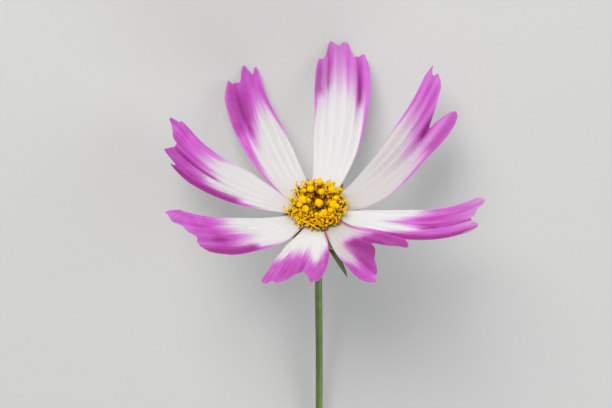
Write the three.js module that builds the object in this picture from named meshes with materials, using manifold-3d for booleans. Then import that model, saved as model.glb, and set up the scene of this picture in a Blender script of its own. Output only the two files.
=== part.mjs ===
// A cut cosmos flower laid down on a table: eight toothed ray petals round a disc of small
// florets, a calyx of green bracts behind them and a bare, gently bent stem.
// Millimetres and degrees. The head is built about its own axis, with its face towards +Z and
// angles counted anticlockwise, then it is leaned over until its two lowest petals and the
// far end of its stem touch the ground at Z 0.
import * as THREE from "three";
import { mergeVertices } from "three/addons/utils/BufferGeometryUtils.js";
import Module from "manifold-3d";

const wasm = await Module();
wasm.setup();

// How the flower lies
const HEAD_LEAN = 26; // the head's axis above the ground
const HEAD_TURN = 9.5; // turns the gap between petals 8 and 1 straight down
const STEM_REST = 20; // straight end of the stem, along the ground
const STEM_SIDEWAYS = 11; // how far the stem has turned sideways at its end

// Stem
const STEM_RADIUS = 0.9;
const STEM_SIDES = 10;
const STEM_STEPS = 36;
const STEM_TOP = 4.9; // below the plane that the petals spring from

// Petals
const PETAL_RING = 4.9; // radius at which the petals spring
const PETAL_THICKNESS = 0.6;
const PETAL_ROWS = 10;
const WIDEST_GAP = 0.3; // between two columns of a petal, as a share of its half width
const EDGE_LIFT = 0.15; // the edges' rise over the midrib, as a share of the half width
const WIDEST_AT = 0.7; // share of the length where a petal is widest
const END_TAPER = 0.12;

// Each petal, clockwise from the top of the head as it faces the viewer. Heading is its angle at
// the base and swing how far that turns by the tip, rise its slope at base, middle and tip, roll
// its twist at the same places. Each tooth or notch of the tip is a place across the petal, from
// -1 to 1, with the share of the length that it reaches.
const PETALS = [
  {
    heading: 72,
    swing: 22,
    length: 36.2,
    halfWidth: 6.2,
    rise: [10, 31, 43],
    roll: [0, 0, 0],
    tip: [[-1, 0.86], [-0.88, 0.91], [-0.7, 0.895], [-0.5, 0.92], [-0.3, 1], [0.08, 0.97],
      [0.42, 1], [0.66, 0.9], [0.86, 0.9], [1, 0.85]],
  },
  {
    heading: 27,
    swing: 34,
    length: 40,
    halfWidth: 5.8,
    rise: [8, 26, 46],
    roll: [0, 0, 0],
    tip: [[-1, 0.76], [-0.72, 0.82], [-0.45, 0.8], [-0.12, 0.68], [0.05, 0.77], [0.3, 0.9],
      [0.5, 0.94], [0.64, 0.89], [0.9, 1], [1, 0.9]],
  },
  {
    heading: -15,
    swing: 6,
    length: 34,
    halfWidth: 5.5,
    rise: [0, 13, 54],
    roll: [0, -10, -12],
    tip: [[-1, 0.86], [-0.6, 0.98], [-0.3, 0.94], [0.1, 0.91], [0.45, 0.96], [0.8, 1],
      [1, 0.96]],
  },
  {
    heading: -58,
    swing: -6,
    length: 31,
    halfWidth: 5.4,
    rise: [6, 30, 34],
    roll: [0, 8, 18],
    tip: [[-1, 0.86], [-0.88, 0.96], [-0.74, 0.97], [-0.4, 0.84], [0.05, 0.6], [0.4, 0.46],
      [0.6, 0.7], [0.8, 0.9], [1, 0.82]],
  },
  {
    heading: -101,
    swing: -4,
    length: 30,
    halfWidth: 6.2,
    rise: [8, 27, 28],
    roll: [0, 4, 10],
    tip: [[-1, 0.95], [-0.85, 1], [-0.5, 0.89], [-0.3, 0.86], [0.12, 0.68], [0.4, 0.8],
      [0.62, 0.86], [1, 0.7]],
  },
  {
    heading: -148,
    swing: -22,
    length: 33.5,
    halfWidth: 6,
    rise: [3, 19, 42],
    roll: [0, 0, 0],
    tip: [[-1, 0.86], [-0.75, 0.98], [-0.4, 0.88], [0, 0.76], [0.4, 0.75], [0.8, 0.73],
      [1, 0.64]],
  },
  {
    heading: 166,
    swing: -8,
    length: 35.4,
    halfWidth: 5.6,
    rise: [4, 24, 58],
    roll: [0, 0, 0],
    tip: [[-1, 0.86], [-0.88, 0.97], [-0.68, 1], [-0.28, 0.865], [0.32, 0.92], [0.6, 0.82],
      [0.76, 0.84], [1, 0.7]],
  },
  {
    heading: 126,
    swing: -13,
    length: 34,
    halfWidth: 5.5,
    rise: [6, 27, 45],
    roll: [0, 0, 0],
    tip: [[-1, 0.88], [-0.8, 0.93], [-0.6, 0.985], [-0.42, 0.955], [-0.1, 1], [0.06, 0.965],
      [0.16, 0.895], [0.6, 0.89], [0.82, 0.925], [1, 0.84]],
  },
];
const PETAL_NECK = 0.3; // half width at the base, as a share of the petal's own

// Disc of florets
const DISC_PROFILE = [[0, -0.35], [4.5, -0.35], [4.6, 0.4], [4, 0.9], [0, 1.1]];
const DISC_SIDES = 24;
const FLORETS = 56;
const FLORET_TURN = 137.508; // from one floret to the next, the golden angle
const FLORET_SPREAD = 6.7; // radius that the tops of the outermost florets reach
const FLORET_ROOTS = 0.62; // root radius as a share of the top's
const FLORET_ROOT_HEIGHT = 0.3;
const BUDS_TO = 2.9; // tops nearer the axis than this are closed buds
const COLUMNS_TO = 5.1; // then tall anther columns as far as this, and open florets outside
const FLORET_SIDES = 6;
const OPEN_SIDES = 10; // two to each of the five lobes
const LOBE_DEPTH = 0.24;

// A floret's outline from root to top: radius, and height as a share of the floret's length
const BUD_OUTLINE = [[0, 0], [0.35, 0.02], [0.78, 0.6], [0.72, 0.88], [0, 1]];
const COLUMN_OUTLINE = [[0, 0], [0.32, 0.02], [0.38, 0.7], [0.6, 0.84], [0, 1]];
const OPEN_OUTLINE = [[0, 0], [0.3, 0.02], [0.36, 0.55], [0.82, 0.8], [0.36, 0.86], [0, 1]];

// Calyx
const CUP_PROFILE = [[0, -4.6], [1.3, -4.6], [2.5, -3.7], [4.5, -2.3], [5.4, -1.1],
  [5.3, -0.7], [0, -0.7]];
const CUP_SIDES = 24;
const BRACT_THICKNESS = 0.6;
const INNER_BRACT = {
  root: 4.4,
  height: -1.15,
  length: 6.6,
  halfWidth: 1.9,
  droop: [0, 0, 0],
  outline: [[0, 0.75], [0.35, 1], [0.7, 0.8], [0.9, 0.45], [1, 0.18]],
};
const OUTER_BRACT = {
  root: 3.9,
  height: -2.15,
  length: 13,
  halfWidth: 1.15,
  droop: [-14, -6, -22],
  outline: [[0, 0.8], [0.3, 1], [0.6, 0.8], [0.85, 0.45], [1, 0.22]],
};
const INNER_BRACT_HEADING = 19;
const OUTER_BRACT_HEADING = -71;
const BRACTS = 8; // in each of the two rings
const BRACT_COLUMNS = [-1, 0, 1];
const BRACT_ROWS = 7;

const radians = THREE.MathUtils.degToRad;

// A value that runs smoothly through the ones given for base, middle and tip
function smooth([base, middle, tip], along) {
  const late = 2 * along - 1;
  return base * (1 - along) * -late + 4 * middle * along * (1 - along) + tip * along * late;
}

// The value at place on a line through points of place and value
function interpolate(points, place) {
  let next = 1;
  while (next < points.length - 1 && points[next][0] < place) next += 1;
  const [from, low] = points[next - 1];
  const [to, high] = points[next];
  const share = THREE.MathUtils.clamp((place - from) / (to - from), 0, 1);
  return low + (high - low) * share;
}

function directionOf(heading, rise) {
  const flat = Math.cos(rise);
  return new THREE.Vector3(flat * Math.cos(heading), flat * Math.sin(heading), Math.sin(rise));
}

// The midrib of a blade as points at even steps, found by following its heading and rise
function midrib({ heading, swing, length, rise, root, height }) {
  const steps = 40;
  const start = radians(heading);
  const point = new THREE.Vector3(root * Math.cos(start), root * Math.sin(start), height);
  const points = [point.clone()];
  for (let step = 0; step < steps; step += 1) {
    const along = (step + 0.5) / steps;
    const turned = radians(heading + swing * along);
    const way = directionOf(turned, radians(smooth(rise, along)));
    point.addScaledVector(way, length / steps);
    points.push(point.clone());
  }
  return points;
}

function pointOn(points, along) {
  const place = along * (points.length - 1);
  const step = Math.min(Math.floor(place), points.length - 2);
  return points[step].clone().lerp(points[step + 1], place - step);
}

// The point of a curved blade at a place across it and a share along it
function bladePoint(shape, rib, across, along) {
  const turned = radians(shape.heading + shape.swing * along);
  const way = directionOf(turned, radians(smooth(shape.rise, along)));
  const level = new THREE.Vector3(-Math.sin(turned), Math.cos(turned), 0);
  const roll = radians(smooth(shape.roll, along));
  const side = level.applyAxisAngle(way, roll);
  const face = way.clone().cross(side);
  const half = shape.widthAt(along);
  const grown = Math.min(3 * along, 1);
  const lift = shape.edgeLift * half * (across * across - 0.33) * grown;
  return pointOn(rib, along).addScaledVector(side, across * half).addScaledVector(face, lift);
}

// A closed blade of even thickness. Both faces are split into triangles in the same way.
function bladeGeometry(shape, columns, rows, thickness) {
  const rib = midrib(shape);
  const small = 0.01;
  const faces = [];
  const vertices = [];
  for (const side of [1, -1]) {
    for (let row = 0; row <= rows; row += 1) {
      for (const across of columns) {
        const along = (row / rows) * shape.reachAt(across);
        const here = bladePoint(shape, rib, across, along);
        const wider = bladePoint(shape, rib, across + small, along);
        const further = bladePoint(shape, rib, across, Math.min(along + small, 1));
        const nearer = bladePoint(shape, rib, across, Math.max(along - small, 0));
        const face = further.sub(nearer).cross(wider.sub(here)).normalize();
        vertices.push(...here.addScaledVector(face, (side * thickness) / 2).toArray());
      }
    }
  }
  const wide = columns.length;
  const under = wide * (rows + 1);
  const at = (row, column) => row * wide + column;
  for (let row = 0; row < rows; row += 1) {
    for (let column = 0; column < wide - 1; column += 1) {
      const [a, b] = [at(row, column), at(row + 1, column)];
      const [c, d] = [at(row + 1, column + 1), at(row, column + 1)];
      faces.push(a, b, c, a, c, d);
      faces.push(under + a, under + c, under + b, under + a, under + d, under + c);
    }
  }
  const rim = [];
  for (let row = 0; row < rows; row += 1) rim.push(at(row, 0));
  for (let column = 0; column < wide - 1; column += 1) rim.push(at(rows, column));
  for (let row = rows; row > 0; row -= 1) rim.push(at(row, wide - 1));
  for (let column = wide - 1; column > 0; column -= 1) rim.push(at(0, column));
  rim.forEach((p, place) => {
    const q = rim[(place + 1) % rim.length];
    faces.push(q, p, under + p, q, under + p, under + q);
  });
  const geometry = new THREE.BufferGeometry();
  geometry.setAttribute("position", new THREE.Float32BufferAttribute(vertices, 3));
  geometry.setIndex(faces);
  return geometry;
}

// Shared vertices merged and the collapsed triangles at a lathe's poles dropped
function closed(geometry) {
  geometry.deleteAttribute("normal");
  geometry.deleteAttribute("uv");
  const merged = mergeVertices(geometry, 1e-4);
  const index = merged.index.array;
  const kept = [];
  for (let i = 0; i < index.length; i += 3) {
    const [a, b, c] = index.subarray(i, i + 3);
    if (a !== b && b !== c && c !== a) kept.push(a, b, c);
  }
  merged.setIndex(kept);
  return merged;
}

function solidOf(geometry) {
  const ready = closed(geometry);
  return new wasm.Manifold(
    new wasm.Mesh({
      numProp: 3,
      vertProperties: new Float32Array(ready.attributes.position.array),
      triVerts: new Uint32Array(ready.index.array),
    }),
  );
}

// All the solids joined in one geometry. A hollow that the joining seals is filled.
function joined(solids) {
  const whole = wasm.Manifold.union(solids);
  const bodies = whole.decompose().filter((body) => body.volume() > 0);
  const body = bodies.sort((a, b) => b.volume() - a.volume())[0];
  const mesh = body.getMesh();
  const positions = new Float32Array(mesh.numVert * 3);
  for (let i = 0; i < mesh.numVert; i += 1) {
    const start = i * mesh.numProp;
    positions.set(mesh.vertProperties.subarray(start, start + 3), i * 3);
  }
  const geometry = new THREE.BufferGeometry();
  geometry.setAttribute("position", new THREE.BufferAttribute(positions, 3));
  geometry.setIndex(new THREE.BufferAttribute(mesh.triVerts, 1));
  geometry.computeVertexNormals();
  return geometry;
}

// A turned solid about the head's axis, from a profile of radius and height
function turned(profile, sides) {
  const points = profile.map(([radius, height]) => new THREE.Vector2(radius, height));
  return new THREE.LatheGeometry(points, sides).rotateX(Math.PI / 2);
}

function material(colour, roughness) {
  return new THREE.MeshStandardMaterial({
    color: colour,
    roughness,
    metalness: 0,
    side: THREE.DoubleSide,
  });
}

function petalMesh(petal, number) {
  const columns = [petal.tip[0][0]];
  for (const [across] of petal.tip.slice(1)) {
    const last = columns.at(-1);
    const parts = Math.ceil((across - last) / WIDEST_GAP - 1e-9);
    for (let part = 1; part <= parts; part += 1) {
      columns.push(last + ((across - last) * part) / parts);
    }
  }
  const shape = {
    ...petal,
    root: PETAL_RING,
    height: 0,
    edgeLift: EDGE_LIFT,
    reachAt: (across) => interpolate(petal.tip, across),
    widthAt: (along) => {
      const grown = Math.sin((Math.PI / 2) * Math.min(along / WIDEST_AT, 1));
      const past = Math.max((along - WIDEST_AT) / (1 - WIDEST_AT), 0);
      const share = PETAL_NECK + (1 - PETAL_NECK) * grown;
      return petal.halfWidth * share * (1 - END_TAPER * past * past);
    },
  };
  const geometry = bladeGeometry(shape, columns, PETAL_ROWS, PETAL_THICKNESS);
  geometry.computeVertexNormals();
  const mesh = new THREE.Mesh(geometry, material(0xece3ec, 0.6));
  mesh.name = `petal_${number}`;
  return mesh;
}

// Where floret number k of the spiral has its root and its top
function floretPlace(k) {
  const heading = radians(k * FLORET_TURN);
  const reach = FLORET_SPREAD * Math.sqrt((k + 0.5) / FLORETS);
  const uneven = Math.sin(2.4 * k);
  const tall = THREE.MathUtils.smoothstep(reach, BUDS_TO - 0.8, BUDS_TO + 1);
  const over = Math.max(reach - COLUMNS_TO, 0);
  const height = 2.9 + 1.5 * tall - 0.55 * over + 0.25 * uneven;
  const root = reach * FLORET_ROOTS;
  return {
    reach,
    root: new THREE.Vector3(
      root * Math.cos(heading),
      root * Math.sin(heading),
      FLORET_ROOT_HEIGHT,
    ),
    top: new THREE.Vector3(reach * Math.cos(heading), reach * Math.sin(heading), height),
  };
}

function floretSolid(k) {
  const { reach, root, top } = floretPlace(k);
  const open = reach > COLUMNS_TO;
  const outline = open ? OPEN_OUTLINE : reach > BUDS_TO ? COLUMN_OUTLINE : BUD_OUTLINE;
  const length = root.distanceTo(top);
  const points = outline.map(([radius, share]) => new THREE.Vector2(radius, share * length));
  const geometry = new THREE.LatheGeometry(points, open ? OPEN_SIDES : FLORET_SIDES);
  const position = geometry.attributes.position;
  for (let i = 0; open && i < position.count; i += 1) {
    const [x, y, z] = [position.getX(i), position.getY(i), position.getZ(i)];
    if (Math.hypot(x, z) < 0.5) continue;
    const lobe = 1 + LOBE_DEPTH * Math.cos(5 * Math.atan2(z, x));
    position.setXYZ(i, x * lobe, y, z * lobe);
  }
  const up = new THREE.Vector3(0, 1, 0);
  const way = top.clone().sub(root).normalize();
  geometry.applyQuaternion(new THREE.Quaternion().setFromUnitVectors(up, way));
  geometry.translate(root.x, root.y, root.z);
  return solidOf(geometry);
}

function discMesh() {
  const solids = [solidOf(turned(DISC_PROFILE, DISC_SIDES))];
  for (let k = 0; k < FLORETS; k += 1) solids.push(floretSolid(k));
  const mesh = new THREE.Mesh(joined(solids), material(0xf2b705, 0.7));
  mesh.name = "disc";
  return mesh;
}

function bractSolid(bract, heading) {
  const shape = {
    ...bract,
    heading,
    swing: 0,
    rise: bract.droop,
    roll: [0, 0, 0],
    edgeLift: 0,
    reachAt: () => 1,
    widthAt: (along) => bract.halfWidth * interpolate(bract.outline, along),
  };
  return solidOf(bladeGeometry(shape, BRACT_COLUMNS, BRACT_ROWS, BRACT_THICKNESS));
}

function calyxMesh() {
  const solids = [solidOf(turned(CUP_PROFILE, CUP_SIDES))];
  for (let number = 0; number < BRACTS; number += 1) {
    const step = (360 / BRACTS) * number;
    solids.push(bractSolid(INNER_BRACT, INNER_BRACT_HEADING + step));
    solids.push(bractSolid(OUTER_BRACT, OUTER_BRACT_HEADING + step));
  }
  const mesh = new THREE.Mesh(joined(solids), material(0x4f7a2a, 0.65));
  mesh.name = "calyx";
  return mesh;
}

// The stem leaves the calyx along the head's axis, bends to lie flat and ends in a plain cut
function stemMesh(start) {
  const rest = STEM_RADIUS * Math.cos(Math.PI / STEM_SIDES);
  const lean = radians(HEAD_LEAN);
  const bend = ((start.z - rest) * lean) / (1 - Math.cos(lean));
  const length = bend + STEM_REST;
  const points = [start.clone()];
  const steps = 120;
  for (let step = 0; step < steps; step += 1) {
    const gone = ((step + 0.5) / steps) * length;
    const fall = lean * Math.max(1 - gone / bend, 0);
    const aside = radians(STEM_SIDEWAYS) * (gone / length) ** 2;
    const way = directionOf(-Math.PI / 2 - aside, -fall);
    points.push(points.at(-1).clone().addScaledVector(way, length / steps));
  }
  const outline = [];
  for (let side = 0; side < STEM_SIDES; side += 1) {
    const angle = (2 * Math.PI * side) / STEM_SIDES;
    outline.push(
      new THREE.Vector2(STEM_RADIUS * Math.cos(angle), STEM_RADIUS * Math.sin(angle)),
    );
  }
  const geometry = new THREE.ExtrudeGeometry(new THREE.Shape(outline), {
    steps: STEM_STEPS,
    bevelEnabled: false,
    extrudePath: new THREE.CatmullRomCurve3(points),
  });
  const mesh = new THREE.Mesh(geometry, material(0x5d8a35, 0.6));
  mesh.name = "stem";
  return mesh;
}

function flower() {
  const head = new THREE.Group();
  head.rotation.set(radians(HEAD_LEAN - 90), 0, radians(-HEAD_TURN));
  PETALS.forEach((petal, place) => head.add(petalMesh(petal, place + 1)));
  head.add(discMesh(), calyxMesh());
  const lowest = new THREE.Box3().setFromObject(head, true).min.z;
  head.position.z = -lowest;
  head.updateMatrixWorld(true);
  const stemTop = head.localToWorld(new THREE.Vector3(0, 0, -STEM_TOP));
  const whole = new THREE.Group();
  whole.add(head, stemMesh(stemTop));
  const middle = new THREE.Box3().setFromObject(whole, true).getCenter(new THREE.Vector3());
  whole.position.set(-middle.x, -middle.y, 0);
  return whole;
}

export default flower();
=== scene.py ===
# Looks of a cut cosmos flower that lies on a pale surface.
# Pieces are modelled in millimetres about the head's own axis, face towards +Z, with angles
# counted anticlockwise, and are then carried to the row frame in metres.
import math

import bpy
import numpy as np
from mathutils import Matrix, Vector


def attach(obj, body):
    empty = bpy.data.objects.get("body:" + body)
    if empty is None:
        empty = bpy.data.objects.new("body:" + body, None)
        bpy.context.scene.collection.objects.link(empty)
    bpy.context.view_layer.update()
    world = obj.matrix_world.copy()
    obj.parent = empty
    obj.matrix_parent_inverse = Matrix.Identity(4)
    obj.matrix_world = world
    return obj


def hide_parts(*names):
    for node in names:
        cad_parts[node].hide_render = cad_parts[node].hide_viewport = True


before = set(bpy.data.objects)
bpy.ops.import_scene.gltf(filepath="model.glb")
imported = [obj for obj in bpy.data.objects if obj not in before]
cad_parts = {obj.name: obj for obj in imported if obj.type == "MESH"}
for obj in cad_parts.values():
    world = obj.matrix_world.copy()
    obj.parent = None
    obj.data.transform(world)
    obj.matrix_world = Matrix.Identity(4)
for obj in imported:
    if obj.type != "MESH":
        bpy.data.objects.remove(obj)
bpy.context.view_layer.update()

MM = 0.001

# How the head lies: its centre in the row frame, its axis above the ground and its turn
HEAD_AT = np.array([-0.57, 40.68, 23.32])
HEAD_LEAN = 26
HEAD_TURN = 9.5

# Stem
STEM_RADIUS = 0.9
STEM_TOP = 4.75  # below the head's centre
STEM_REST = 20  # length that lies flat
STEM_SIDEWAYS = 11
STEM_FLATS = 10  # sides of the plainer stem that this one replaces, which lies on one of them
STEM_RIBS = 8
STEM_STEPS = 260
STEM_SIDES = 48
STEM_CUT = ((0.84, 0.02), (0.55, 0), (0.2, -0.04))  # size of each ring, and how far back it lies

# Petals
PETAL_RING = 4.9
PETAL_THICKNESS = 0.26
PETAL_RIM_THICKNESS = 0.1
PETAL_COLUMNS = 84
PETAL_ROWS = 120
PETAL_RIBS = 5.5
PETAL_RIB_HEIGHT = 0.2
PETAL_VEINS = 17
PETAL_VEIN_HEIGHT = 0.015
EDGE_LIFT = 0.15  # the edges' rise over the midrib, as a share of the half width
EDGE_WAVE = 0.22
TIP_CURL = 0.18
WIDEST_AT = 0.7
END_TAPER = 0.12
ROUNDNESS = 0.55  # of the run between two given points of an outline, 0 for straight
PURPLE_SPREAD = 0.03
BLADE_STEPS = 240

# What holds for each petal that says nothing else
PLAIN_PETAL = dict(
    root=PETAL_RING, height=0, roll=(0, 0, 0), splay=[], slims=[], raised=[], soft=0.13
)

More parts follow.
